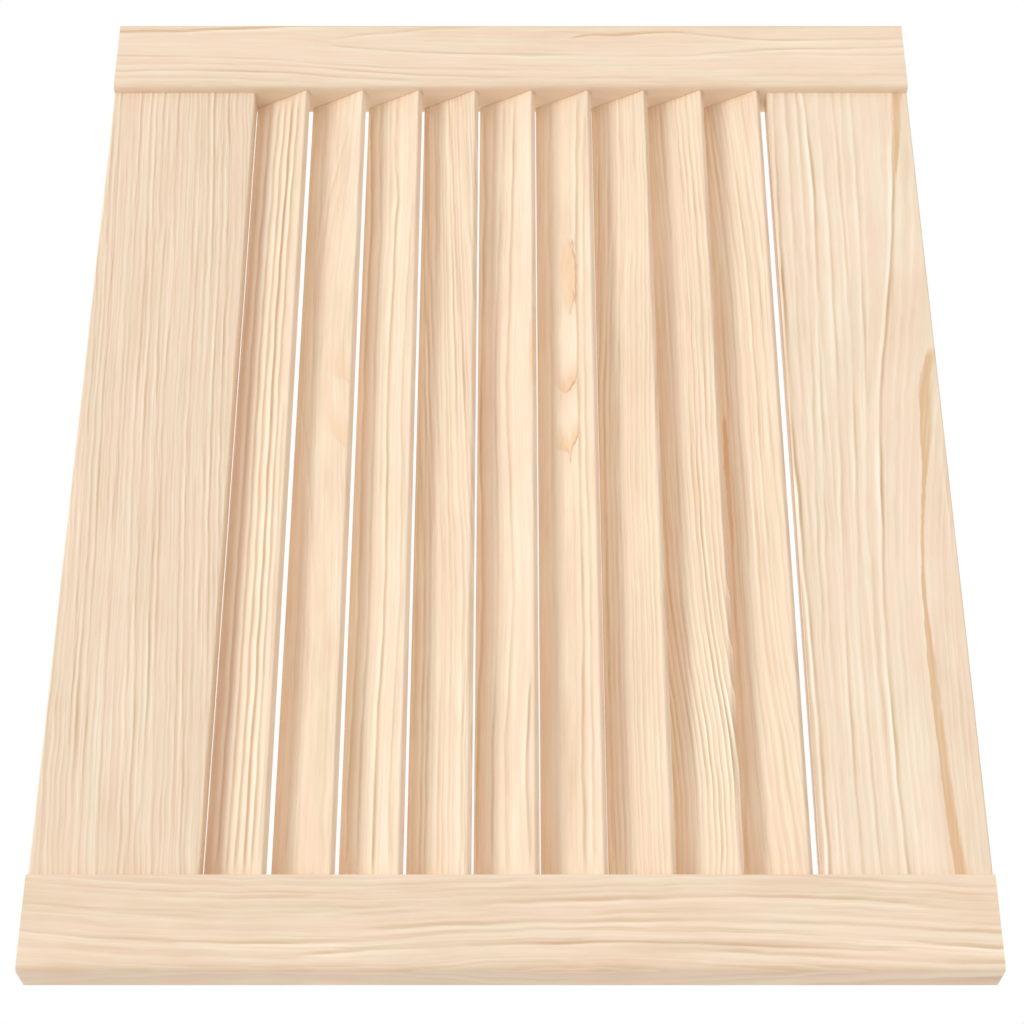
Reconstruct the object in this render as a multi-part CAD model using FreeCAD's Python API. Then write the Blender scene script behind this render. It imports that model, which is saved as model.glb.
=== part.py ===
# A small louvred door leaf in solid pine, for a cabinet.
# Two full-height stiles hold two thinner rails and a ladder of fixed slanted slats.
# The leaf stands upright: X is its width, Y its thickness with the front at -Y, Z its height.
# The origin is the middle of the left stile's outer edge, where the leaf is hinged.
import FreeCAD
import Part
import math
import os

from FreeCAD import Vector

# Overall size of the leaf
door_width = 494.0
door_height = 395.0

# Stiles: full height, with rounded long arrises and square-cut ends
stile_width = 41.0
stile_thickness = 20.4
stile_arris_radius = 2.0

# Rails: as thick as the setback on both sides leaves them
rail_width = 70.0
rail_setback = 4.2
rail_arris_radius = 0.8

# Slats: the front edge hangs low and the back edge stands high
slat_thickness = 4.2
slat_edge_radius = 1.0
slat_tilt = 29.5
slat_front_setback = 2.4
slat_back_setback = 0.35
slat_count = 9
slat_top_gap = 0.1
slat_bottom_gap = 3.55

# Housings: slanted blind slots in the stiles' inner edges, one for each slat end
housing_depth = 8.0
housing_side_clearance = 0.1
housing_end_clearance = 0.3

# Dowels: two through each corner joint
dowel_diameter = 6.0
dowel_length = 40.0
dowel_chamfer = 1.0
dowel_spacing = 40.0
dowel_side_clearance = 0.05
dowel_end_clearance = 0.5

# Lengths that follow from the driving sizes
opening_width = door_width - 2 * stile_width
opening_height = door_height - 2 * rail_width
rail_thickness = stile_thickness - 2 * rail_setback
slat_length = opening_width + 2 * (housing_depth - housing_end_clearance)


def cross_section(width, depth, radius):
    """A rectangle with rounded corners about the origin: width along Y, depth along Z."""
    y = width / 2 - radius
    z = depth / 2 - radius
    bulge = radius * math.sqrt(0.5)
    corners = [(y, z, 1, 1), (-y, z, -1, 1), (-y, -z, -1, -1), (y, -z, 1, -1)]
    edges = []
    previous_end = None
    first_start = None
    for cy, cz, sy, sz in corners:
        on_side = Vector(0, cy + sy * radius, cz)
        on_top = Vector(0, cy, cz + sz * radius)
        middle = Vector(0, cy + sy * bulge, cz + sz * bulge)
        # The walk is anticlockwise, so side and top take turns as the start of the corner
        start, end = (on_side, on_top) if sy == sz else (on_top, on_side)
        if previous_end is None:
            first_start = start
        else:
            edges.append(Part.LineSegment(previous_end, start).toShape())
        edges.append(Part.Arc(start, middle, end).toShape())
        previous_end = end
    edges.append(Part.LineSegment(previous_end, first_start).toShape())
    return Part.Face(Part.Wire(edges))


def board_along_x(width, depth, radius, x_start, x_end):
    """A board with rounded long arrises, lying along X between two stations."""
    face = cross_section(width, depth, radius)
    face.translate(Vector(x_start, 0, 0))
    return face.extrude(Vector(x_end - x_start, 0, 0))


# Slat profile: as wide as the room between its two setbacks allows at its tilt
tilt = math.radians(slat_tilt)
slat_depth = stile_thickness - slat_front_setback - slat_back_setback
corner_rise = (slat_thickness - 2 * slat_edge_radius) * math.sin(tilt)
corner_depth = (slat_thickness - 2 * slat_edge_radius) * math.cos(tilt)
slat_flat = (slat_depth - 2 * slat_edge_radius - corner_depth) / math.sin(tilt)
slat_width = slat_flat + 2 * slat_edge_radius
slat_height = slat_flat * math.cos(tilt) + corner_rise + 2 * slat_edge_radius

# Slat places: evenly spaced from just under the top rail to a wider gap over the bottom rail
slat_y = (slat_front_setback - slat_back_setback) / 2
first_slat_z = opening_height / 2 - slat_top_gap - slat_height / 2
last_slat_z = -opening_height / 2 + slat_bottom_gap + slat_height / 2
slat_pitch = (first_slat_z - last_slat_z) / (slat_count - 1)
slat_levels = [first_slat_z - slat_pitch * index for index in range(slat_count)]


def slat_shape(level, x_start, x_end, clearance=0.0):
    """The slat at one level, or with a clearance the cutter for its housing."""
    shape = board_along_x(slat_thickness + 2 * clearance, slat_width + 2 * clearance,
                          slat_edge_radius + clearance, x_start, x_end)
    shape.rotate(Vector(0, 0, 0), Vector(1, 0, 0), -slat_tilt)
    shape.translate(Vector(0, slat_y, level))
    return shape


# Dowel places: a pair at each end of each rail, on the rail's middle plane
rail_level = door_height / 2 - rail_width / 2
dowel_levels = [side * rail_level + step * dowel_spacing / 2 for side in (1, -1) for step in (1, -1)]
left_shoulder = stile_width
right_shoulder = door_width - stile_width


def dowel_bore(shoulder, level):
    """The bore through one shoulder line, half in the stile and half in the rail."""
    length = dowel_length + 2 * dowel_end_clearance
    radius = dowel_diameter / 2 + dowel_side_clearance
    return Part.makeCylinder(radius, length, Vector(shoulder - length / 2, 0, level), Vector(1, 0, 0))


def dowel_shape(shoulder, level):
    """A dowel with chamfered ends, centred on the shoulder line."""
    rod = Part.makeCylinder(dowel_diameter / 2, dowel_length,
                            Vector(shoulder - dowel_length / 2, 0, level), Vector(1, 0, 0))
    rims = [edge for edge in rod.Edges if edge.Curve.TypeId == "Part::GeomCircle"]
    return rod.makeChamfer(dowel_chamfer, rims)


def stile_shape(x_outer, x_inner):
    """A stile from its outer edge to its inner edge, with the slat housings and dowel bores."""
    face = cross_section(stile_thickness, stile_width, stile_arris_radius)
    face.rotate(Vector(0, 0, 0), Vector(0, 1, 0), 90)
    face.translate(Vector((x_outer + x_inner) / 2, 0, -door_height / 2))
    stile = face.extrude(Vector(0, 0, door_height))
    inward = 1 if x_inner > x_outer else -1
    housing_floor = x_inner - inward * housing_depth
    past_edge = x_inner + inward * housing_depth
    cutters = [slat_shape(level, min(housing_floor, past_edge), max(housing_floor, past_edge),
                          housing_side_clearance) for level in slat_levels]
    cutters += [dowel_bore(x_inner, level) for level in dowel_levels]
    return stile.cut(cutters)


def rail_shape(side):
    """The top rail for side 1 or the bottom rail for side -1, with its dowel bores."""
    rail = board_along_x(rail_thickness, rail_width, rail_arris_radius, left_shoulder, right_shoulder)
    rail.translate(Vector(0, 0, side * rail_level))
    levels = [level for level in dowel_levels if level * side > 0]
    bores = [dowel_bore(shoulder, level)
             for shoulder in (left_shoulder, right_shoulder) for level in levels]
    return rail.cut(bores)


pieces = {
    "stile_left": stile_shape(0, left_shoulder),
    "stile_right": stile_shape(door_width, right_shoulder),
    "rail_top": rail_shape(1),
    "rail_bottom": rail_shape(-1),
}

slat_start = (door_width - slat_length) / 2
for number, level in enumerate(slat_levels, 1):
    pieces["slat_%d" % number] = slat_shape(level, slat_start, slat_start + slat_length)

dowel_places = [(shoulder, level) for level in dowel_levels for shoulder in (left_shoulder, right_shoulder)]
for number, (shoulder, level) in enumerate(dowel_places, 1):
    pieces["dowel_%d" % number] = dowel_shape(shoulder, level)

os.makedirs("parts", exist_ok=True)
for name, shape in pieces.items():
    solid = shape.Solids[0]
    solid.exportStep("parts/%s.step" % name)
    print(name, "valid", solid.isValid(), "solids", len(shape.Solids), "volume", round(solid.Volume, 1))

print("slat width", round(slat_width, 2), "slat height", round(slat_height, 2), "pitch", round(slat_pitch, 3))
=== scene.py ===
import math

import bmesh
import bpy
from mathutils import Matrix, Vector


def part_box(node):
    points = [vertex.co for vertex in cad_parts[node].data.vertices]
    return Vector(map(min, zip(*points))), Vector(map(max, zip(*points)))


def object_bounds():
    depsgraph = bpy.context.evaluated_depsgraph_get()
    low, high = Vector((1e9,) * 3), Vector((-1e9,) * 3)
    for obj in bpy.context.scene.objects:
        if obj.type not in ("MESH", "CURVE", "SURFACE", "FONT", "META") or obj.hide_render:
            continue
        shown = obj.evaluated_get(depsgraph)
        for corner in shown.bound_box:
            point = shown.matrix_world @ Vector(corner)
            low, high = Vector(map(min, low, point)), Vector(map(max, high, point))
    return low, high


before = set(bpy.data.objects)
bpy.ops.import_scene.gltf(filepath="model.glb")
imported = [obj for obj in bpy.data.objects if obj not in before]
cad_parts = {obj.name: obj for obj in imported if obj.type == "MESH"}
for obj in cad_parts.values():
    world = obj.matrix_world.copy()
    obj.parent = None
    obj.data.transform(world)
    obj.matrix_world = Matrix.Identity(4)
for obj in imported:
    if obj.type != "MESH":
        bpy.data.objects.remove(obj)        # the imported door, with every board already in its place
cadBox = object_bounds()
print("frame loaded:", len(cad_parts), "nodes")


# A colour written as it looks on screen, from 0 to 255, turned into the values that a shader takes
def screenColour(red, green, blue):
    linear = []
    for level in (red, green, blue):
        share = level / 255
        linear.append(share / 12.92 if share <= 0.04045 else ((share + 0.055) / 1.055) ** 2.4)
    return (*linear, 1.0)


# One socket of a shader tree. Arithmetic on it adds Math nodes, and node() adds any kind of node
class Wire:
    def __init__(self, tree, socket=None):
        self.tree = tree
        self.socket = socket

    # Settings are made first. Among them, stops fill a ramp's colours and points a curve
    def node(self, kind, settings, sockets, output=0):
        made = self.tree.nodes.new("ShaderNode" + kind)
        for key, value in settings.items():
            if key == "stops":
                self.fillRamp(made.color_ramp, value)
            elif key == "points":
                self.fillCurve(made.mapping, value)
            else:
                setattr(made, key, value)
        for key, value in sockets.items():
            if isinstance(value, Wire):
                self.tree.links.new(value.socket, made.inputs[key])
            else:
                made.inputs[key].default_value = value
        return Wire(self.tree, made.outputs[output] if made.outputs else None)

    def fillRamp(self, ramp, stops):
        for position, colour in stops[1:-1]:
            ramp.elements.new(position).color = colour
        ramp.elements[0].position, ramp.elements[0].color = stops[0]
        ramp.elements[-1].position, ramp.elements[-1].color = stops[-1]

    def fillCurve(self, mapping, points):
        curve = mapping.curves[0]
        for point in points[1:-1]:
            curve.points.new(*point)
        curve.points[0].location = points[0]
        curve.points[-1].location = points[-1]
        mapping.extend = "HORIZONTAL"
        mapping.update()

    def maths(self, operation, *others):
        return self.node("Math", {"operation": operation}, dict(enumerate([self, *others])))

    def __add__(self, other):
        return self.maths("ADD", other)

    def __radd__(self, other):
        return self.maths("ADD", other)

    def __sub__(self, other):
        return self.maths("SUBTRACT", other)

    def __rsub__(self, other):
        return self.node("Math", {"operation": "SUBTRACT"}, {0: other, 1: self})

    def __mul__(self, other):
        return self.maths("MULTIPLY", other)

    def __rmul__(self, other):
        return self.maths("MULTIPLY", other)

    def __truediv__(self, other):
        return self.maths("DIVIDE", other)

    # 0 below low and 1 above high, with a smooth rise between them
    def between(self, low, high):
        return self.node("MapRange", {"interpolation_type": "SMOOTHSTEP"},
                         {"Value": self, "From Min": low, "From Max": high})

    # This value as the factor that goes from one colour to another
    def blend(self, first, second):
        return self.node("Mix", {"data_type": "RGBA"}, {0: self, 6: first, 7: second}, 2)

    # A value that this one runs through, given as pairs of stations and levels
    def follow(self, stations, reach):
        low, high = stations[0][0], stations[-1][0]
        points = [((at - low) / (high - low), level / reach / 2 + 0.5) for at, level in stations]
        curve = self.node("FloatCurve", {"points": points}, {"Value": (self - low) / (high - low)})
        return (curve - 0.5) * (2 * reach)


# Colours and surface of the wood. Tone -2 is the first of the tones, the darkest latewood, and 2 is the last
pine = {
    "tones": [(197, 160, 124), (221, 194, 164), (240, 217, 192), (251, 234, 212), (255, 247, 231)],
    "streak": (225, 188, 149),
    "flame": (236, 199, 160),
    "straw": (0.985, 1.0, 0.975),
    "rosy": (1.0, 0.965, 0.945),
    # a redder tint painted into shade, standing in for warm bounced light
    "paintedWarmLight": (1.035, 0.985, 0.965),
    "endGrain": (0.87, 0.8, 0.72),
    "endGrainFrom": (0.5, 0.8),
    "warmthFrom": (-0.38, 0.38),
    "fineWarmth": 0.45,
    "roughness": 0.6,
    "roughnessByTone": 0.03,
    "specular": 0.35,
    "fibreCells": (0.12, 2.2, 2.2),
    "fibreDepth": 0.00002,
}

# Noise in the wood: its cell along and across in millimetres, a shift that makes it its own, and its detail
noises = {
    "sway": (110, 24, 1.3, 1.0),
    "bend": (17, 9, 0.6, 0.0),
    "wobble": (22, 6, 4.4, 0.0),
    "fading": (55, 5, 2.9, 0.0),
    "fine": (40, 0.9, 5.1, 0.0),
    "mottle": (24, 4, 6.3, 1.0),
    "broad": (90, 14, 8.8, 1.0),
    "streakEdge": (8, 1.5, 9.7, 1.0),
    "streakInside": (30, 1.2, 9.7, 0.0),
    "ragged": (9, 1.3, 8.1, 1.5),
    "warmth": (90, 10, 7.7, 1.5),
    "fineWarmth": (40, 2.4, 3.6, 0.0),
}

# How strongly noise works on every board, beside each board's own share of it
noiseWeights = {"bend": 0.5, "strandSway": 0.3, "strandWobble": 0.5, "fading": 1.6, "mottle": 0.7, "broad": 1.4,
                "fibre": 0.28, "streakWobble": 0.5, "streakEdge": 0.5}

# The rings between the strands. Stations go from 0 where a ring starts, with pale wood, to 1 where the next one does
ringLook = {"driftCells": 0.41, "drift": 1.5, "pale": 1.5, "dark": 1.3, "weakest": 0.4, "variety": 0.7,
            "paleUpTo": (0.02, 0.4), "darkFrom": (0.3, 0.8), "darkUpTo": (0.86, 1.0)}

# A strand in section, in widths of itself: dark up to its place and pale beyond. Its ends fade within the board
strandLook = {"dark": [(-3.0, 0.0), (-1.3, 0.0), (-0.6, -0.4), (0.0, -1.0)],
              "pale": [(0.45, 0.2), (0.8, 1.0), (1.4, 0.6), (2.3, 0.0), (3.0, 0.0)], "past": 3, "inside": 12}

# A streak is thick latewood with a soft near side and a sharp far side, in half widths of itself
streakLook = {"nearSide": (-1.4, -0.4), "farSide": (0.85, 1.05), "cover": 0.95, "uneven": 0.5, "past": 0, "inside": 8}

# Islands are ragged spots of rosy latewood, swirls or patches. Lengths in from the rim and up a swirl are in
# millimetres, and those up a patch are shares of its reach
islandLook = {"ragged": 1.32, "cover": 0.75, "fibre": 1.2, "rimCover": 0.75}
swirlLook = {"starts": 0.7, "ends": 6, "edge": 1.5, "fadesFrom": 0.15, "rimFrom": (-0.3, 0.6), "rimUpTo": (0.8, 3.0),
             "rimRows": (4, 8)}
patchLook = {"edge": 1.2, "paler": (-0.9, 1.0), "palerBy": 0.45, "rimFrom": (-0.3, 0.3), "rimUpTo": (0.4, 1.4),
             "rimRows": (-0.8, 0.3), "rimPalerBy": 0.9}

# The largest level, up or down, that each kind of curve can hold
reaches = {"flow": 14.0, "spread": 0.6, "rings": 2.0, "shade": 1.0, "section": 1.0, "path": 40.0, "streakWidth": 4.0,
           "outline": 60.0}
glowEdge = 1.4           # the square of how far out a glow ends, as a share of its reach
nearEnd = 8              # a path that starts or ends this near the board's own end doesn't fade

# How each board was cut from its log, in millimetres of its own frame: along it, across it and out of its front.
# pith is the middle of its growth rings, ring their spacing and rings how clear they are. flow and spread, at even
# stations along, bend and fan its grain, and sway is how far it wanders. What the strands, glows, streaks, swirls and
# patches hold is noted where pineMaterial draws them
rails = {"along": (1, 0, 0), "across": (0, 0, 1), "strandWidth": 1.25, "pale": 0.7, "even": 0.5}
stiles = {"along": (0, 0, 1), "across": (-1, 0, 0), "strandWidth": 1.5, "pale": 0.6, "even": 0.5}
slatTilt = math.radians(29.5)
slats = {"along": (1, 0, 0), "across": (0, math.sin(slatTilt), math.cos(slatTilt)),
         "sway": 0.45, "fine": 0.18, "mottle": 0.3, "strandWidth": 1.6, "pale": 0.6, "even": 0.6,
         # shade across each slat: painted shade near its upper back edge, in the shadow of the slat above, painted
         # light across its upper middle, and a little darker below the middle
         "shade": [(-14, -0.05), (-4, -0.15), (3, 0.15), (7, 0.15), (10, 0.0), (13, -0.3)]}
# Paler, creamier wood for slat_3 and slat_5, with painted light across their upper middles and no painted shade at
# the upper back
creamAndPaintedLight = [(-14, 0.05), (-9, 0.1), (-6, 0.3), (-2, 0.0), (3, 0.3), (7, 0.4), (10, 0.15), (13, 0.05)]

boards = {
    "rail_top": {
        **rails, "pith": (-150, -60), "seed": 3.1, "ring": 2.2, "rings": 0.32, "sway": 0.5, "fine": 0.18,
        "mottle": 0.25, "pale": 0.85,
        "glows": [(0.3, (-130, 7), (45, 10)), (-0.25, (180, -16), (45, 8))],
        "flow": [8.6, 5.7, 3.0, 0.0, -1.9, -4.1, -7.0], "spread": [-0.04, -0.05, -0.01, 0.0, -0.01, -0.03, -0.01],
        "strands": [
            (0.2, (-205, 32.9), (-75, 31.6), (-10, 31.3), (55, 33.8), (115, 33.9)),
            (0.5, (105, 31.3), (145, 32.8), (190, 33.5)),
            (0.5, (-155, 23.6), (-80, 26.7), (-10, 29.3), (60, 32.1)),
            (0.6, (-205, 14.7), (-90, 20.0), (-30, 22.7), (30, 25.1), (90, 27.1), (145, 29.6), (205, 31.0)),
            (0.3, (-205, 17.9), (-145, 21.2), (-85, 23.6), (-30, 25.9), (30, 28.2)),
            (0.2, (-105, 17.5), (-45, 18.6), (20, 21.7), (80, 22.8), (145, 26.2), (205, 27.9)),
            (0.5, (-5, 13.5), (65, 15.9), (135, 18.6), (205, 21.0)),
            (0.5, (-205, 7.5), (-140, 10.5), (-75, 13.3), (-10, 15.6), (120, 20.4), (185, 23.2)),
            (0.5, (115, 5.6), (160, 8.4), (205, 9.8)),
            (0.2, (-205, 3.5), (-145, 5.5), (-90, 8.6), (-30, 11.2)),
            (0.5, (-205, -1.9), (-145, -0.1), (-90, 3.3), (30, 9.4), (90, 10.4), (145, 13.8), (205, 15.9)),
            (0.3, (135, 5.1), (170, 6.3), (205, 6.0)),
            (0.6, (-205, -4.6), (-145, -3.3), (-90, 0.4), (-30, 3.7), (90, 7.3), (145, 10.9), (205, 12.7)),
            (0.6, (-185, -8.8), (-120, -7.4), (-60, -4.1), (0, -1.4), (60, 1.8), (125, 3.3)),
            (0.5, (-205, -15.7), (-145, -11.8), (-90, -8.8), (30, -2.7), (90, -3.0), (145, 0.8), (205, 2.9)),
            (0.3, (-205, -24.2), (-145, -20.5), (-90, -17.4), (30, -11.0), (90, -10.9), (145, -8.1), (205, -6.4)),
            (0.5, (-205, -27.5), (-135, -23.4), (-70, -19.4), (0, -16.1), (65, -13.9), (135, -13.0)),
            (0.3, (-165, -29.0), (-105, -25.4), (-45, -22.1), (80, -17.6), (145, -15.7), (205, -11.9)),
            (0.5, (-95, -26.9), (-35, -25.0), (25, -22.0), (85, -20.8), (145, -18.2), (205, -15.0)),
            (0.5, (-140, -33.4), (-80, -29.9), (35, -25.2), (90, -24.4), (150, -21.6), (205, -18.5)),
            (0.3, (115, -30.7), (160, -27.6), (205, -25.8)),
            (0.6, (-55, -33.6), (10, -30.4), (75, -28.3), (140, -25.9), (205, -22.3)),
            (0.2, (-205, -33.0), (-160, -31.6), (-110, -28.8))]},
    "rail_bottom": {
        **rails, "pith": (-90, -60), "seed": 7.7, "ring": 2.9, "rings": 0.2, "sway": 0.4, "fine": 0.18,
        "mottle": 0.35, "strandWidth": 1.5, "pale": 0.85,
        # shade here makes the wood a touch paler, with painted shade along the rounded upper edge beside the slats
        "shade": [(-35, 0.05), (33, 0.1), (33.7, -0.3), (34.2, -0.4), (34.7, -0.8), (35, -1.0)],
        "glows": [(0.3, (-180, -8), (50, 8)), (-0.2, (-75, 8), (40, 10))],
        "flow": [0.0, 0.2, 0.8, 4.2, 7.4, 9.4, 10.0], "spread": [0.0, -0.01, -0.04, -0.2, -0.36, -0.45, -0.48],
        "strands": [
            (1.0, (-205, 31.8), (-145, 31.8), (-30, 33.3), (30, 33.7), (90, 33.5), (145, 32.5), (205, 31.6)),
            (-0.7, (-205, 32.9), (-170, 33.0), (-110, 33.4), (-50, 34.3), (0, 35.5)),
            (0.4, (-45, 29.3), (20, 28.7), (80, 27.5), (140, 26.3), (205, 25.9)),
            (0.5, (-205, 26.8), (-145, 26.7), (-90, 27.0), (-30, 25.4), (90, 21.2), (145, 20.3), (205, 20.5)),
            (0.5, (-205, 24.2), (-145, 24.2), (-90, 23.7), (30, 19.4), (90, 17.1), (145, 15.5), (205, 16.5)),
            (0.6, (80, 17.6), (145, 15.5), (205, 16.4)),
            (0.7, (-205, 18.2), (-145, 18.1), (-90, 16.7), (30, 11.6), (90, 10.0), (145, 9.3), (205, 9.2)),
            (0.6, (-205, 10.5), (-145, 10.8), (-90, 10.4), (30, 4.7), (90, 3.0), (145, 2.2), (205, 2.3)),
            (0.6, (-205, 3.9), (-145, 4.3), (-90, 4.2), (-30, 2.6), (30, -1.4), (90, -4.3), (145, -5.9), (205, -7.0)),
            (1.2, (-205, -0.5), (-90, -0.5), (-30, -3.6), (30, -8.0), (85, -16.4), (145, -23.2), (205, -27.6)),
            (0.5, (-160, -19.6), (-125, -18.7), (-95, -18.1), (-60, -19.2), (-20, -22.6), (10, -26.0)),
            (0.3, (-160, -29.1), (-105, -30.5), (-50, -33.4), (5, -33.8))],
        "streaks": [
            [(150, -24.6, 0.3), (165, -26.4, 0.9), (185, -28.4, 1.7), (206, -30.0, 2.4)],
            [(-206, -22.0, 2.7), (-175, -20.4, 2.2), (-140, -19.3, 1.9), (-112, -18.7, 1.8), (-75, -18.4, 0.9),
             (-54, -19.7, 0.7), (-21, -23.2, 1.0), (0, -25.8, 2.2), (12, -27.2, 2.9), (33, -28.6, 2.8),
             (44, -31.0, 2.8), (56, -36.5, 3.0)]]},
    "stile_left": {
        **stiles, "pith": (-70, -25), "seed": 12.3, "ring": 2.8, "rings": 0.18, "sway": 0.6, "fine": 0.12,
        "mottle": 0.35, "strandWidth": 1.8, "pale": 1.0,
        # shade here is a painted highlight along the inner rounded edge and painted shade along the outer rounded
        # edge
        "shade": [(-20.5, 0.75), (-19.5, 0.4), (-18, 0.0), (16.5, 0.0), (18, -0.22), (19, -0.5), (20, -0.55),
                  (20.5, -0.2)],
        "glows": [(-0.8, (-65, 10.5), (60, 3)), (-0.3, (-30, 17), (45, 4))],
        "flow": [-4.2, -0.7, 0.6, 0.0, -2.3, -1.8, 2.2], "spread": [-0.11, -0.15, -0.07, -0.01, -0.08, -0.07, -0.05],
        "strands": [
            (0.45, (-195, 17.2), (-140, 15.4), (-80, 11.8)),
            (0.7, (-160, 12.2), (-100, 9.8), (-60, 8.7), (-35, 8.6), (25, 10.1), (85, 13.4)),
            (0.45, (-195, 10.9), (-130, 5.7), (-65, 3.7), (0, 3.6), (65, 7.8), (130, 8.6), (195, 3.6)),
            (0.5, (-195, 4.7), (-130, 0.9), (-65, -0.5), (0, 0.2), (65, 3.5)),
            (0.2, (-195, 1.2), (-140, -3.0), (-85, -4.5), (-30, -3.6)),
            (0.2, (25, -9.1), (60, -5.9), (95, -3.9)),
            (0.5, (-170, -7.2), (-110, -10.6), (-50, -9.9), (10, -8.1)),
            (0.2, (0, -8.4), (75, -2.2), (135, -2.4), (195, -8.5)),
            (0.2, (65, -13.0), (105, -10.1), (145, -11.4)),
            (0.2, (-10, -18.7), (25, -15.7), (60, -14.1)),
            (0.4, (-195, -15.0), (-170, -16.0), (-130, -18.5))]},
    "stile_right": {
        **stiles, "pith": (-60, -20), "seed": 21.9, "ring": 3.0, "rings": 0.1, "sway": 0.8, "fine": 0.15,
        "mottle": 0.25,
        # shade here is painted shade along the inner rounded edge
        "shade": [(-20.5, 0.0), (18.4, 0.0), (18.9, -0.1), (19.75, -0.3), (20.1, -0.4), (20.4, -0.15), (20.5, -0.05)],
        "glows": [(-0.35, (-50, 16.5), (80, 4)), (-0.3, (15, -3), (50, 4))],
        "flow": [1.0, 0.5, 0.0, 0.0, 1.0, 5.0, 6.0], "spread": [0.0] * 7,
        "strands": [
            (0.3, (110, 16.4), (150, 14.5), (195, 14.3)),
            (0.3, (-195, 12.9), (-145, 13.0), (-90, 13.5)),
            (0.6, (45, 15.7), (75, 14.5), (120, 10.8), (160, 9.7), (195, 10.2)),
            (0.4, (-80, 14.3), (-10, 14.1), (60, 11.3), (125, 5.6), (195, 5.7)),
            (0.2, (-95, 6.0), (-40, 6.7), (20, 6.3)),
            (0.4, (-5, 9.5), (60, 7.8), (100, 4.5), (130, 1.7), (195, 0.8)),
            (0.2, (-195, -0.7), (-130, -0.5), (-60, -0.2), (10, -1.8)),
            (0.6, (-40, -0.3), (0, -0.6), (32, -1.6), (63, -3.6), (82, -5.4), (90, -6.8), (93, -8.4)),
            (0.5, (10, -19.0), (32, -18.0), (52, -16.0), (84, -11.8), (91, -10.2), (93, -8.9)),
            (0.6, (-195, -5.3), (-155, -4.4), (-118, -2.8), (-92, -0.4)),
            (0.6, (-195, -11.2), (-166, -10.4), (-118, -10.7), (-104, -12.8), (-89, -14.5), (-72, -14.9),
             (-50, -13.2)),
            (0.8, (70, -20.0), (115, -18.6), (157, -16.5), (195, -15.3)),
            (0.2, (-195, -18.0), (-145, -18.0), (-90, -18.0))],
        "streaks": [
            [(-90, -15.0, 0.2), (-72, -15.1, 0.5), (-57, -13.6, 1.1), (-50, -13.5, 1.0), (-39, -13.6, 0.7),
             (-31, -11.8, 0.5), (-27, -10.2, 0.15)],
            [(95, -19.8, 0.2), (120, -18.9, 0.5), (157, -17.0, 0.6), (197, -15.8, 0.7)]]},
    "slat_1": {
        **slats, "pith": (-120, -20), "seed": 30.2, "ring": 3.8, "rings": 0.1, "sway": 0.15,
        "strandWidth": 1.7, "pale": 0.8, "even": 0.85,
        # slat_1's shade is a little darker below the middle and has painted light in its shaded upper back, and the
        # tint on the next line paints that part redder as warm bounced light
        "shade": [(-14, 0.0), (-9, -0.05), (-6.5, -0.25), (-2, -0.15), (2, 0.15), (7, 0.35), (14, 0.2)],
        "paintedWarmLight": [(-14, 0.0), (2, 0.0), (6, 0.7), (14, 0.8)],
        "flow": [0.2, 0.6, 0.5, 0.0, -0.2, 0.2, 0.8], "spread": [0.0] * 7,
        "strands": [
            (0.3, (-200, 13.1), (-140, 12.7), (-25, 12.9), (90, 12.4), (145, 11.2), (205, 11.0)),
            (0.9, (-200, 8.2), (-145, 7.5), (-25, 7.5), (90, 7.6), (145, 6.9), (205, 6.2)),
            (1.0, (-205, 2.9), (-145, 2.3), (-30, 2.4), (30, 2.9), (90, 2.7), (145, 2.1), (205, 1.0)),
            (1.0, (-205, -1.6), (-90, -2.1), (-30, -1.8), (30, -1.3), (90, -1.5), (145, -1.9), (205, -3.0)),
            (1.5, (-205, -5.8), (-90, -6.3), (-30, -6.0), (30, -5.3), (90, -5.3), (145, -6.1), (205, -7.0)),
            (1.3, (-205, -9.8), (-90, -10.0), (30, -9.3), (90, -9.3), (145, -9.8), (205, -11.0)),
            (0.6, (-205, -13.1), (-125, -13.5), (-50, -13.0), (25, -12.3))]},
    "slat_2": {
        **slats, "pith": (-60, -25), "seed": 35.4, "ring": 3.0, "rings": 0.16, "mottle": 0.4,
        "flow": [2.0, 1.8, 1.7, 0.0, -2.6, 1.0, 3.5], "spread": [-0.16, -0.13, -0.13, 0.0, 0.12, 0.03, -0.06],
        "strands": [
            (0.3, (-75, -1.0), (-25, 3.5), (10, 8.5), (30, 12.0)),
            (0.3, (20, 6.5), (65, 7.3), (110, 8.6)),
            (0.3, (-195, 7.5), (-130, 7.9), (-70, 7.8), (-5, 8.5)),
            (0.3, (105, 4.0), (135, 3.0), (165, -3.0), (190, -9.0)),
            (0.2, (95, 1.0), (130, -1.0), (160, -8.0)),
            (0.3, (120, 6.5), (160, 7.0), (200, 5.6))],
        "swirls": [
            (0.65, 0.1, 20, (-15.0, -3), (-12.5, -1), (-10.5, 1.5), (-8.5, 3.6), (-7.0, 6), (-4.0, 12), (-1.0, 22)),
            (0.65, 0.1, 20, (-15.0, 30), (-13.6, 32.6), (-11.2, 35.5), (-8.5, 36.5), (-6.5, 38), (-4.0, 42),
             (-1.0, 52))],
        "glows": [(0.3, (22, -2), (40, 9)), (-0.3, (-30, 0), (30, 6)), (-0.25, (-120, -12), (40, 5))]},
    "slat_3": {
        **slats, "pith": (-90, -20), "seed": 41.7, "ring": 3.0, "rings": 0.28, "even": 0.85, "shade": creamAndPaintedLight,
        "glows": [(0.4, (-105, 1.5), (90, 4)), (0.25, (20, 12), (70, 4)), (-0.2, (130, -2), (50, 3)),
                  (0.2, (50, -11), (50, 5))],
        "flow": [-0.5, -0.1, 1.0, 0.0, -0.3, 0.2, -0.9], "spread": [0.03, 0.01, -0.05, 0.0, -0.07, -0.18, -0.24],
        "strands": [
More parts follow.
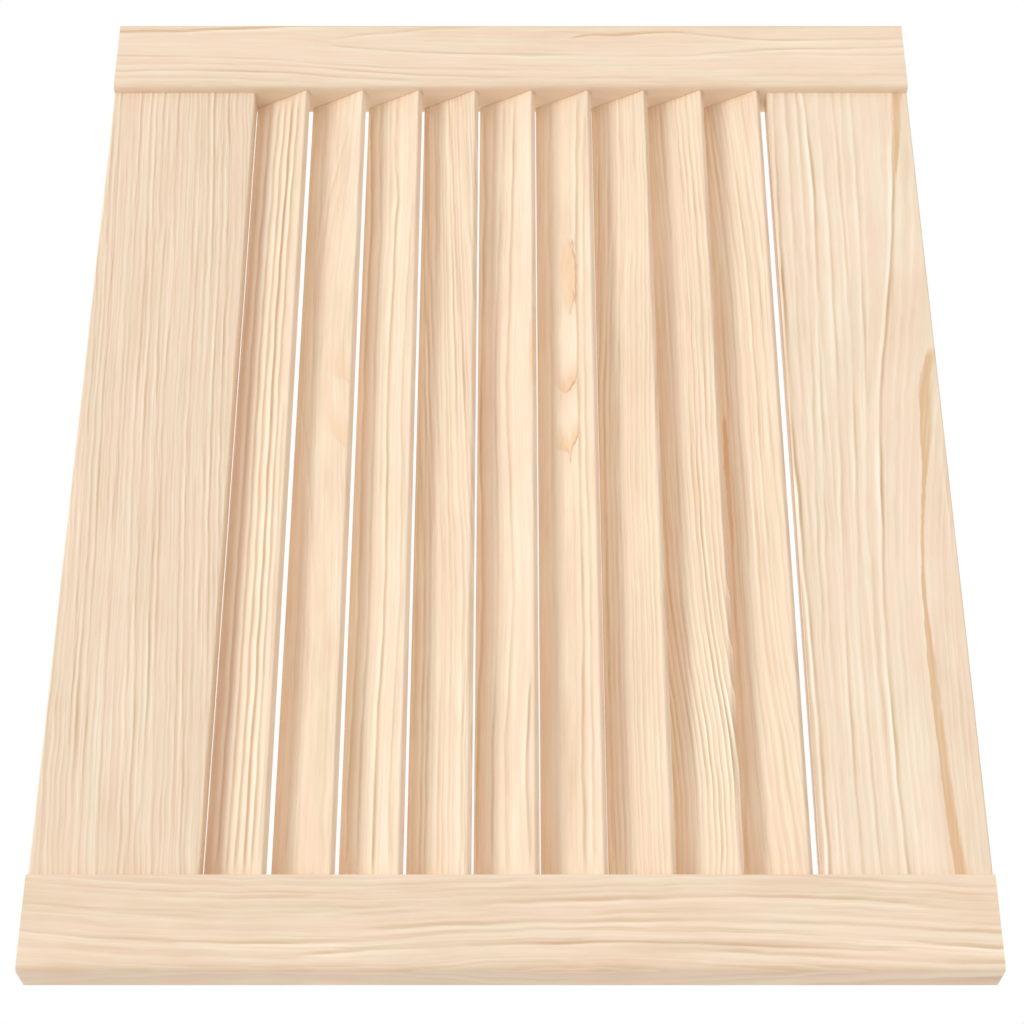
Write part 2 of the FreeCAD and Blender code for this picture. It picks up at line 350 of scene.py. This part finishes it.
            (0.9, (-200, 10.8), (-145, 10.7), (-85, 9.7), (30, 10.9), (90, 10.9), (145, 10.5), (160, 11.6),
             (205, 12.7)),
            (0.6, (-200, 5.3), (-145, 5.5), (-85, 4.1), (30, 5.0), (90, 5.2), (145, 4.9), (165, 6.6), (205, 7.4)),
            (0.3, (-25, -0.3), (20, 0.5), (60, 0.7)),
            (0.3, (110, -0.6), (155, 0.2), (205, 1.7)),
            (1.0, (-205, -2.4), (-145, -2.4), (-90, -4.0), (-30, -3.7), (30, -2.5), (90, -3.3), (145, -4.0)),
            (0.7, (130, -4.3), (152, -4.2), (163, -2.6), (205, -2.6)),
            (0.7, (-205, -10.2), (-145, -9.9), (-90, -12.0), (-30, -11.5), (30, -10.3), (90, -11.4), (145, -13.4))]},
    "slat_4": {
        **slats, "pith": (-120, -30), "seed": 46.1, "ring": 2.4, "rings": 0.34,
        "glows": [(0.3, (-160, -10), (70, 7)), (0.2, (-110, 7), (60, 4)), (-0.3, (105, -2), (60, 5))],
        "flow": [2.5, 2.2, 2.3, 0.0, -3.0, -5.8, -8.5], "spread": [-0.15, -0.12, -0.16, 0.0, 0.05, 0.16, 0.25],
        "strands": [
            (0.5, (-200, 7.9), (-135, 7.8), (-65, 8.6), (0, 12.0)),
            (0.5, (-40, 4.4), (30, 7.5), (100, 12.2)),
            (0.5, (-200, 5.2), (-140, 5.6), (-75, 5.3), (-15, 7.5), (45, 12.4)),
            (0.6, (65, 3.8), (135, 6.3), (205, 8.7)),
            (0.5, (-85, -1.3), (-25, 0.5), (30, 3.9), (90, 8.2), (145, 11.8), (205, 12.8)),
            (0.4, (-205, -0.6), (-150, -0.8), (-100, -1.4)),
            (0.3, (-170, -5.7), (-105, -4.9), (-40, -3.6), (25, 0.1)),
            (0.4, (0, -7.0), (70, -5.2), (140, -1.1)),
            (0.6, (-5, -13.0), (65, -8.5), (135, -4.0), (205, -0.2)),
            (0.3, (95, -9.7), (150, -7.0), (205, -3.7)),
            (0.3, (110, -12.7), (155, -10.0), (205, -7.5)),
            (0.5, (-205, -13.5), (-155, -12.1), (-105, -13.5))]},
    "slat_5": {
        **slats, "pith": (-90, -20), "seed": 52.9, "ring": 3.4, "rings": 0.12, "shade": creamAndPaintedLight,
        "flow": [-0.1, -0.1, 1.5, 0.0, -0.1, 1.2, 1.6], "spread": [-0.07, -0.03, -0.09, 0.0, -0.02, -0.11, -0.2],
        "strands": [
            (0.9, (-200, 13.1), (-140, 12.8), (-85, 11.1), (-25, 11.7), (30, 12.9), (90, 12.0), (145, 11.3),
             (205, 12.5)),
            (0.3, (15, 7.2), (80, 7.7), (140, 7.0), (205, 6.1)),
            (0.7, (-200, 5.5), (-145, 5.3), (-85, 3.5), (-25, 4.0), (30, 5.0), (90, 3.9), (145, 2.4), (205, 0.5)),
            (0.7, (-205, -1.7), (-145, -0.9), (-90, -4.0), (-30, -3.3), (30, -1.1), (90, -2.5), (145, -4.0),
             (205, -5.5)),
            (0.9, (-205, -12.8), (-180, -11.6), (-160, -11.0), (-140, -11.7), (-115, -13.4))],
        "patches": [(1.0, (52, -15.2), (25, 2.7))],
        "glows": [(0.55, (140, -11.5), (60, 4)), (0.25, (-50, -11.5), (50, 4)), (-0.3, (-190, -11.5), (30, 4)),
                  (-0.25, (-80, -2), (40, 4)), (-0.4, (190, -5), (40, 3.5))]},
    "slat_6": {
        **slats, "pith": (-120, -40), "seed": 57.3, "ring": 3.4, "rings": 0.08, "mottle": 0.35,
        # shade here is paler wood near the lower front edge, painted light across the upper middle and painted shade
        # near the upper back edge
        "shade": [(-14, 0.15), (-10, 0.25), (-7, -0.05), (-2, -0.05), (3, 0.15), (7, 0.1), (13, -0.25)],
        "flow": [0.0, 0.2, 0.3, 0.0, 0.2, 0.7, 1.6], "spread": [0.0, -0.01, -0.03, 0.0, -0.07, -0.11, -0.15],
        "strands": [
            (0.4, (-25, 7.9), (35, 6.9), (90, 6.7), (150, 7.9), (205, 5.5)),
            (0.8, (-205, -6.4), (-150, -6.1), (-95, -7.0), (-40, -7.2), (15, -6.6), (60, -6.9), (110, -7.0),
             (205, -9.3)),
            (0.7, (-205, -10.3), (-140, -10.8), (-70, -11.1), (-5, -10.3), (60, -10.3), (130, -11.4), (195, -13.0))],
        "swirls": [
            (1.0, 1.0, 17, (-7.2, 17), (-6.7, 9), (-5.4, 4.4), (-4.0, 1.7), (-3.1, -0.6), (-2.2, -6.5), (-1.3, -1.6),
             (0.5, -0.8), (2.3, 0.6), (4.9, 2.6), (8.0, 9)),
            (1.0, 1.0, 14, (-7.2, 47), (-6.3, 40), (-5.7, 37), (-3.8, 34), (-2.0, 32.2), (-0.8, 31), (1.0, 31.4),
             (2.7, 33.2), (4.2, 36), (8.0, 43))],
        "patches": [(0.9, (97, -2.6), (22, 4.4))],
        "glows": [(0.55, (16, -1.5), (15, 6.5)), (0.5, (60, -1.5), (22, 6)), (-0.35, (-150, -4), (70, 8)),
                  (-0.5, (190, -12), (60, 5))]},
    "slat_7": {
        **slats, "pith": (-120, -20), "seed": 63.8, "ring": 2.3, "rings": 0.3,
        "glows": [(-0.25, (-110, 12), (110, 5)), (-0.2, (-110, -2), (60, 4))],
        "flow": [0.4, -0.2, -0.1, 0.0, 2.0, 4.4, 4.9], "spread": [0.02, 0.0, 0.0, 0.0, 0.0, 0.05, 0.09],
        "strands": [
            (0.4, (60, 13.7), (130, 11.3), (205, 11.3)),
            (0.4, (-15, 14.0), (40, 13.7), (95, 10.2), (150, 8.2), (205, 7.7)),
            (0.5, (-200, 11.8), (-85, 12.3), (-25, 12.0), (30, 11.4), (90, 7.6), (145, 5.7), (205, 4.9)),
            (0.5, (-200, 9.0), (-135, 9.4), (-70, 8.6), (-5, 8.5), (60, 7.0), (125, 3.9)),
            (0.5, (-200, 5.9), (-135, 6.4), (-65, 6.4), (0, 5.6), (65, 3.1)),
            (0.5, (80, 1.3), (145, -1.1), (205, -1.3)),
            (0.3, (105, -6.6), (155, -7.5), (205, -7.6))]},
    "slat_8": {
        **slats, "pith": (-120, -20), "seed": 68.6, "ring": 2.6, "uneven": 0.5,
        "rings": [(-206, 0.4), (-182, 0.7), (-150, 1.0), (-90, 0.85), (-40, 0.62), (206, 0.45)],
        "ringsAcross": [(-14, 1.3), (-4, 1.2), (1, 0.8), (5, 0.6), (14, 0.6)], "fine": 0.08,
        "glows": [(-0.3, (80, -12), (80, 4)), (0.3, (-165, -8), (70, 7)), (-0.2, (-30, -2), (60, 5)),
                  (0.25, (-129, 2), (30, 4))],
        "flow": [9.3, 11.0, 9.2, 5.2, 2.2, 0.8, 0.0, -0.1, -0.2, -0.3, -0.8, -2.0, -3.3],
        "spread": [0.03, 0.04, 0.0, -0.05, -0.1, -0.1, -0.1],
        "strands": [
            (0.4, (-200, 5.9), (-145, 4.9), (-85, 11.1), (-25, 13.1), (30, 13.7)),
            (0.3, (-125, 4.6), (-70, 8.7), (-15, 10.4), (40, 11.0), (100, 11.2), (155, 12.9)),
            (0.4, (-45, 6.0), (20, 6.4), (80, 7.3), (140, 9.8), (205, 11.9)),
            (0.4, (-120, 3.1), (-65, 6.9), (-5, 8.0), (55, 9.0), (110, 10.1)),
            (0.2, (25, 4.9), (85, 5.1), (145, 7.5), (205, 9.7)),
            (0.4, (115, 4.1), (160, 6.1), (205, 7.2)),
            (0.35, (-165, -13.8), (-150, -13.0), (-120, -8.6), (-85, -3.7), (-15, -1.5), (50, -0.3)),
            (0.35, (-125, -11.4), (-60, -5.4), (5, -3.5), (70, -3.1), (140, -2.1), (205, 0.2)),
            (0.3, (-205, -5.6), (-165, -7.7), (-125, -4.4)),
            (0.35, (-115, -12.8), (-55, -8.3), (10, -6.1), (75, -5.9), (140, -5.4), (205, -2.5)),
            (0.5, (-35, -10.5), (25, -9.3), (85, -9.3), (145, -8.5), (205, -6.1))]},
    "slat_9": {
        **slats, "pith": (-120, -20), "seed": 74.5, "ring": 2.5, "rings": 0.25,
        "flow": [7.1, 5.8, 4.2, 2.0, 1.2, 0.6, 0.0, -0.1, -0.1, -0.8, -2.9, -5.2, -8.0],
        "spread": [-0.33, -0.24, -0.05, 0.0, 0.0, 0.0, 0.0],
        "strands": [
            (0.5, (-200, 12.8), (-145, 11.5), (-90, 11.3), (-35, 11.3), (20, 11.5)),
            (0.5, (15, 9.9), (60, 10.3), (110, 10.0)),
            (0.5, (-200, 3.4), (-135, 6.6), (-70, 8.0), (0, 9.4)),
            (0.5, (-60, 3.3), (5, 4.7), (70, 4.9), (135, 7.6), (200, 11.3)),
            (0.5, (-205, -11.2), (-145, -6.2), (-90, -1.7), (-30, -0.9), (90, -0.1), (145, 3.9), (205, 10.6)),
            (0.4, (-55, -6.5), (0, -5.2), (55, -5.1), (110, -4.2), (165, -0.2)),
            (0.4, (-10, -10.0), (60, -10.0), (135, -7.3), (205, -1.9)),
            (0.5, (100, -13.4), (150, -9.6), (205, -6.1))],
        "streaks": [[(-50, 11.0, 0.4), (-28, 11.4, 1.1), (0, 12.0, 1.2), (14, 12.0, 1.0), (26, 12.0, 0.3)]],
        "glows": [(-0.45, (200, 13), (45, 5)), (0.3, (140, -12), (50, 5))]},
}


def pineMaterial(name, board):
    material = bpy.data.materials.new("pine_" + name)
    material.use_nodes = True
    tree = material.node_tree
    tree.nodes.clear()
    start = Wire(tree)

    # The board's own axes, measured in millimetres from its middle
    low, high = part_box(name)
    centre = (low + high) / 2
    axes = [Vector(board["along"]), Vector(board["across"])]
    axes.append(axes[0].cross(axes[1]))
    turn = Matrix(axes).transposed().to_euler()
    coordinates = start.node("TexCoord", {}, {}).socket.node.outputs
    local = start.node("Mapping", {"vector_type": "TEXTURE"}, {
        "Vector": Wire(tree, coordinates["Object"]), "Location": centre, "Rotation": turn, "Scale": (0.001,) * 3})
    split = start.node("SeparateXYZ", {}, {0: local}).socket.node
    x, y, z = (Wire(tree, socket) for socket in split.outputs)
    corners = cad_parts[name].data.vertices
    half = [max(abs((corner.co - centre).dot(axis)) for corner in corners) * 1000 for axis in axes]
    seed = board["seed"]

    # Noise at places u along and v across, mostly from -0.5 to 0.5
    def cloud(u, v, kind):
        cellU, cellV, shift, detail = noises[kind]
        spot = start.node("CombineXYZ", {}, {0: u / cellU, 1: v / cellV + (seed + shift)})
        return start.node("TexNoise", {"noise_dimensions": "2D"},
                          {"Vector": spot, "Scale": 1.0, "Detail": detail, "Roughness": 0.6}) * 2 - 1

    # A value that fades out at each end of its path, unless that end is the board's own
    def fadeEnds(value, path, look):
        first, last = path[0][0], path[-1][0]
        if first > -half[0] + nearEnd:
            value = value * x.between(first - look["past"], first + look["inside"])
        if last < half[0] - nearEnd:
            value = value * (1 - x.between(last - look["inside"], last + look["past"]))
        return value

    # Levels at even stations along the board
    def alongBoard(levels, reach):
        share = 2 / (len(levels) - 1)
        return x.follow([(half[0] * (share * step - 1), level) for step, level in enumerate(levels)], reach)

    # Places in an oval: the square of how far out they are, as a share of its reach, and how far up
    def inOval(middle, reach):
        aside, up = (x - middle[0]) / reach[0], (y - middle[1]) / reach[1]
        return aside * aside + up * up, up

    # Growth rings bend round the pith, so each point goes to the place across the front with the same ring
    pithY, pithZ = board["pith"]
    deep = z - pithZ
    fromPith = (y - pithY) * (y - pithY) + deep * deep - (half[2] - pithZ) ** 2
    across = fromPith.maths("MAXIMUM", 0.0).maths("SQRT") + pithY
    sway = (cloud(x, y, "sway") + cloud(x, y, "bend") * noiseWeights["bend"]) * (2 * board["sway"])
    flow = alongBoard(board["flow"], reaches["flow"])
    spread = alongBoard(board["spread"], reaches["spread"])
    place = across + flow + across * spread + sway

    # Rings between the strands, each darkest just before the next. Their spacing drifts and their strength varies,
    # also by the place along and across where the board says so
    count = place / board["ring"]
    drift = start.node("TexNoise", {"noise_dimensions": "1D"},
                       {"W": count * ringLook["driftCells"] + seed, "Scale": 1.0})
    count = count + drift * board.get("uneven", ringLook["drift"])
    phase = count.maths("FRACT")
    chance = start.node("TexWhiteNoise", {"noise_dimensions": "1D"}, {"W": count.maths("FLOOR") + seed})
    strength = chance * ringLook["variety"] + ringLook["weakest"]
    late = phase.between(*ringLook["darkFrom"]) * (1 - phase.between(*ringLook["darkUpTo"]))
    young = 1 - phase.between(*ringLook["paleUpTo"])
    rings = board["rings"]
    if isinstance(rings, list):
        rings = x.follow(rings, reaches["rings"])
    if "ringsAcross" in board:
        rings = rings * y.follow(board["ringsAcross"], reaches["rings"])
    tone = (young * ringLook["pale"] - late * ringLook["dark"]) * strength * rings

    # A strand is a clear latewood line: how dark it is, below zero for a pale one, then its places along and across
    section = strandLook["dark"] + [(at, level * board["pale"]) for at, level in strandLook["pale"]]
    wobble = sway * noiseWeights["strandSway"] + cloud(x, y, "wobble") * noiseWeights["strandWobble"]
    for dark, *path in board["strands"]:
        off = (across + wobble - x.follow(path, reaches["path"])) / board["strandWidth"]
        tone = tone + fadeEnds(off.follow(section, reaches["section"]) * dark, path, strandLook)
    tone = tone * (cloud(x, place, "fading") * (noiseWeights["fading"] * (1 - board["even"])) + 1.0)

    # Finest lines, soft blotches and fibres. shade changes the tone by the place across, mostly as painted shade and
    # painted light beside rounded edges and in the shadow of each slat's neighbour, with some paler or darker wood. A
    # glow changes the tone in an oval: its change, its middle and its reach
    fine = cloud(x, place, "fine") * board["fine"]
    mottle = cloud(x, place, "mottle") * (board["mottle"] * noiseWeights["mottle"])
    broad = cloud(x, place, "broad") * (board["mottle"] * noiseWeights["broad"])
    fibre = start.node("TexNoise", {}, {
        "Vector": start.node("VectorMath", {"operation": "MULTIPLY"}, {0: local, 1: pine["fibreCells"]}),
        "Scale": 1.0, "Detail": 1.0}) * 2 - 1
    tone = tone + fine + mottle + broad + fibre * noiseWeights["fibre"]
    # Painted shade and painted light by the place across, with some paler or darker wood
    if "shade" in board:
        tone = tone + y.follow(board["shade"], reaches["shade"])
    for change, *oval in board.get("glows", []):
        tone = tone + (1 - inOval(*oval)[0].between(0.0, glowEdge)) * change
    shades = [screenColour(*shade) for shade in pine["tones"]]
    colour = start.node("ValToRGB", {"stops": [(step / 4, shade) for step, shade in enumerate(shades)]},
                        {0: tone / 4 + 0.5})

    # A streak is given by its places along and across, with half its width at each
    for path in board.get("streaks", []):
        centreLine = x.follow([(at, level) for at, level, width in path], reaches["path"])
        halfWidth = x.follow([(at, width) for at, level, width in path], reaches["streakWidth"])
        jag = wobble * noiseWeights["streakWobble"] + cloud(x, y, "streakEdge") * noiseWeights["streakEdge"]
        off = (across + jag - centreLine) / halfWidth
        mask = off.between(*streakLook["nearSide"]) * (1 - off.between(*streakLook["farSide"]))
        mask = mask * (cloud(x, place, "streakInside") * streakLook["uneven"] + streakLook["cover"])
        colour = fadeEnds(mask, path, streakLook).blend(colour, screenColour(*pine["streak"]))

    # Swirls and patches are islands, and inward is the distance in from the rim. A swirl is its force, how dark its
    # rim is, how far it fades along the board, and its outline as places across and along. A patch is its force and
    # the middle and reach of its oval, and fades towards its upper side
    ragged = cloud(x, y, "ragged") * islandLook["ragged"]
    islands = []
    for force, edge, depth, *outline in board.get("swirls", []):
        first, last = outline[0][0], outline[-1][0]
        inward = x - y.follow(outline, reaches["outline"]) + ragged
        rows = y.between(first, first + swirlLook["starts"]) * (1 - y.between(last - swirlLook["ends"], last))
        fade = 1 - inward.between(swirlLook["fadesFrom"] * depth, depth)
        rim = inward.between(*swirlLook["rimFrom"]) * (1 - inward.between(*swirlLook["rimUpTo"]))
        rimRows = 1 - y.between(first + swirlLook["rimRows"][0], first + swirlLook["rimRows"][1])
        islands.append((inward.between(0.0, swirlLook["edge"]) * fade * rows * force, rim * rimRows * rows * edge))
    for force, middle, reach in board.get("patches", []):
        out, up = inOval(middle, reach)
        inward = (1 - out.maths("SQRT")) * reach[1] + ragged
        fade = 1 - up.between(*patchLook["paler"]) * patchLook["palerBy"]
        rim = inward.between(*patchLook["rimFrom"]) * (1 - inward.between(*patchLook["rimUpTo"]))
        rimFade = 1 - up.between(*patchLook["rimRows"]) * patchLook["rimPalerBy"]
        islands.append((inward.between(0.0, patchLook["edge"]) * fade * force, rim * rimFade * force))
    for inside, rim in islands:
        cover = inside * (fibre * islandLook["fibre"] + islandLook["cover"])
        colour = cover.blend(colour, screenColour(*pine["flame"]))
        colour = (rim * islandLook["rimCover"]).blend(colour, shades[0])

    # The wood is rosy in some places and straw-coloured in others, and darker on its sawn ends. Where a board asks
    # for it, a painted warm light tints its shaded part redder, standing in for light bounced between the boards
    warmth = cloud(x, place, "warmth") + cloud(x, place, "fineWarmth") * pine["fineWarmth"]
    tint = warmth.between(*pine["warmthFrom"]).blend((*pine["straw"], 1.0), (*pine["rosy"], 1.0))
    if "paintedWarmLight" in board:
        tint = y.follow(board["paintedWarmLight"], reaches["shade"]).blend(tint, (*pine["paintedWarmLight"], 1.0))
    facing = start.node("VectorMath", {"operation": "DOT_PRODUCT"},
                        {0: Wire(tree, coordinates["Normal"]), 1: axes[0]}, 1).maths("ABSOLUTE")
    tint = facing.between(*pine["endGrainFrom"]).blend(tint, (*pine["endGrain"], 1.0))
    colour = start.node("Mix", {"data_type": "RGBA", "blend_type": "MULTIPLY"}, {0: 1.0, 6: colour, 7: tint}, 2)

    bump = start.node("Bump", {}, {"Strength": 1.0, "Distance": pine["fibreDepth"], "Height": fibre})
    shader = start.node("BsdfPrincipled", {}, {
        "Base Color": colour, "Roughness": tone * pine["roughnessByTone"] + pine["roughness"],
        "Specular IOR Level": pine["specular"], "Normal": bump})
    start.node("OutputMaterial", {}, {"Surface": shader})
    return material


for name, board in boards.items():
    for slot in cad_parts[name].material_slots:
        slot.material = pineMaterial(name, board)
print("pine on", len(boards), "boards")

# The hidden dowels are plain beech, with short dark flecks along them
beech = {"wood": (222, 190, 154), "fleck": (188, 150, 114), "fleckLength": 3.0, "fleckWidth": 0.35,
         "fleckFrom": (0.55, 0.75), "fleckDarkness": 0.7, "roughness": 0.55}


def beechMaterial():
    material = bpy.data.materials.new("beech")
    material.use_nodes = True
    tree = material.node_tree
    tree.nodes.clear()
    start = Wire(tree)
    place = Wire(tree, start.node("TexCoord", {}, {}).socket.node.outputs["Object"])
    cells = (1000 / beech["fleckLength"], 1000 / beech["fleckWidth"], 1000 / beech["fleckWidth"])
    spot = start.node("VectorMath", {"operation": "MULTIPLY"}, {0: place, 1: cells})
    flecks = start.node("TexNoise", {}, {"Vector": spot, "Scale": 1.0, "Detail": 1.0}).between(*beech["fleckFrom"])
    colour = (flecks * beech["fleckDarkness"]).blend(screenColour(*beech["wood"]), screenColour(*beech["fleck"]))
    shader = start.node("BsdfPrincipled", {}, {"Base Color": colour, "Roughness": beech["roughness"]})
    start.node("OutputMaterial", {}, {"Surface": shader})
    return material


dowelWood = beechMaterial()
dowels = [node for name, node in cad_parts.items() if name.startswith("dowel")]
for node in dowels:
    for slot in node.material_slots:
        slot.material = dowelWood
print("beech on", len(dowels), "dowels")

# A round sheet of pale paper, in metres, level and some way below the door
stage = {"drop": 0.25, "reach": 0.85, "sides": 96, "paper": 0.72, "roughness": 0.9}


def makeFloor():
    low, high = cadBox
    middle = (low + high) / 2
    shape = bmesh.new()
    bmesh.ops.create_circle(shape, cap_ends=True, segments=stage["sides"], radius=stage["reach"],
                            matrix=Matrix.Translation((middle.x, middle.y, low.z - stage["drop"])))
    mesh = bpy.data.meshes.new("floor")
    shape.to_mesh(mesh)
    shape.free()
    floor = bpy.data.objects.new("floor", mesh)
    bpy.context.scene.collection.objects.link(floor)
    material = bpy.data.materials.new("floor_paper")
    material.use_nodes = True
    shader = material.node_tree.nodes["Principled BSDF"]
    shader.inputs["Base Color"].default_value = (stage["paper"],) * 3 + (1.0,)
    shader.inputs["Roughness"].default_value = stage["roughness"]
    mesh.materials.append(material)


makeFloor()

# The world shows white to the camera and in reflections, and lights the boards softly. spread is in degrees
light = {"ambient": (0.786, 0.758, 0.751), "white": (1, 1, 1),
         "sun": {"power": 1.335, "colour": (0.92, 1.0, 1.01), "spread": 26, "towards": (0.0, -0.56, 0.83)},
         "fill": {"power": 0.9, "colour": (1.0, 1.0, 1.0), "spread": 50, "towards": (0.25, 0.95, 0.12)}}
world = bpy.data.worlds.new("studio")
bpy.context.scene.world = world
world.use_nodes = True
world.node_tree.nodes.clear()
sky = Wire(world.node_tree)
rays = sky.node("LightPath", {}, {}).socket.node.outputs
seen, mirrored, through = (Wire(world.node_tree, rays["Is %s Ray" % kind])
                           for kind in ("Camera", "Glossy", "Transmission"))
direct = seen.maths("MAXIMUM", mirrored).maths("MAXIMUM", through)
dim, white = (sky.node("Background", {}, {"Color": (*light[kind], 1), "Strength": 1.0})
              for kind in ("ambient", "white"))
sky.node("OutputWorld", {}, {"Surface": sky.node("MixShader", {}, {0: direct, 1: dim, 2: white})})

for lampName in ("sun", "fill"):
    values = light[lampName]
    lamp = bpy.data.lights.new(lampName, "SUN")
    lamp.energy = values["power"]
    lamp.color = values["colour"]
    lamp.angle = math.radians(values["spread"])
    holder = bpy.data.objects.new(lampName, lamp)
    holder.rotation_euler = Vector(values["towards"]).to_track_quat("Z", "Y").to_euler()
    bpy.context.scene.collection.objects.link(holder)
print("light and floor ready")

# The door is seen from above its hinge edge, with its height lying across the picture
view = {"place": (-0.28761, -0.88640, -0.0006), "depression": 60.4, "lens": 79.75, "sensor": 36}
slope = math.radians(view["depression"])
forward = Vector((math.cos(slope), math.sin(slope), 0))
right = Vector((0, 0, -1))
up = right.cross(forward)
lens = bpy.data.cameras.new("camera")
lens.lens = view["lens"]
lens.sensor_width = view["sensor"]
camera = bpy.data.objects.new("camera", lens)
camera.matrix_world = Matrix.Translation(view["place"]) @ Matrix((right, up, -forward)).transposed().to_4x4()
bpy.context.scene.collection.objects.link(camera)
bpy.context.scene.camera = camera
bpy.context.scene.view_settings.view_transform = "Standard"
